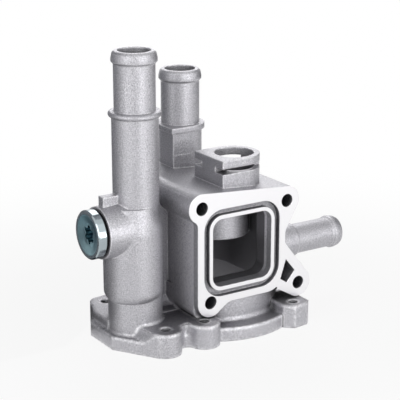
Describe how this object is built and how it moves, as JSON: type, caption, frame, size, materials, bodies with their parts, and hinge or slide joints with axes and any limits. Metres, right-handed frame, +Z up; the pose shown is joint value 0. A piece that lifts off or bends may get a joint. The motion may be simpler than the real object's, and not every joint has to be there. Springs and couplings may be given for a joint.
{
  "type": "thermostat housing",
  "caption": "Bare cast aluminium coolant thermostat housing with a square cover flange, upright and side hose spigots, a clip-in sensor boss and a screwed blanking plug.",
  "frame": {"origin": "centre of the main port on the mounting face", "axes": "+Z up from the mounting face along both upright spigots, -Y out of the cover flange, +X along the side spigot"},
  "size_m": [0.1596, 0.0945, 0.1455],
  "materials": {
    "cast_aluminium": "bare casting, blasted, with machined cover and mounting faces",
    "zinc_steel": "blue passivated zinc plate",
    "seal_rubber": "matt black"
  },
  "bodies": {
    "root": {"housing": "cast_aluminium", "plug": "zinc_steel", "seal_ring": "seal_rubber"}
  },
  "joints": []
}
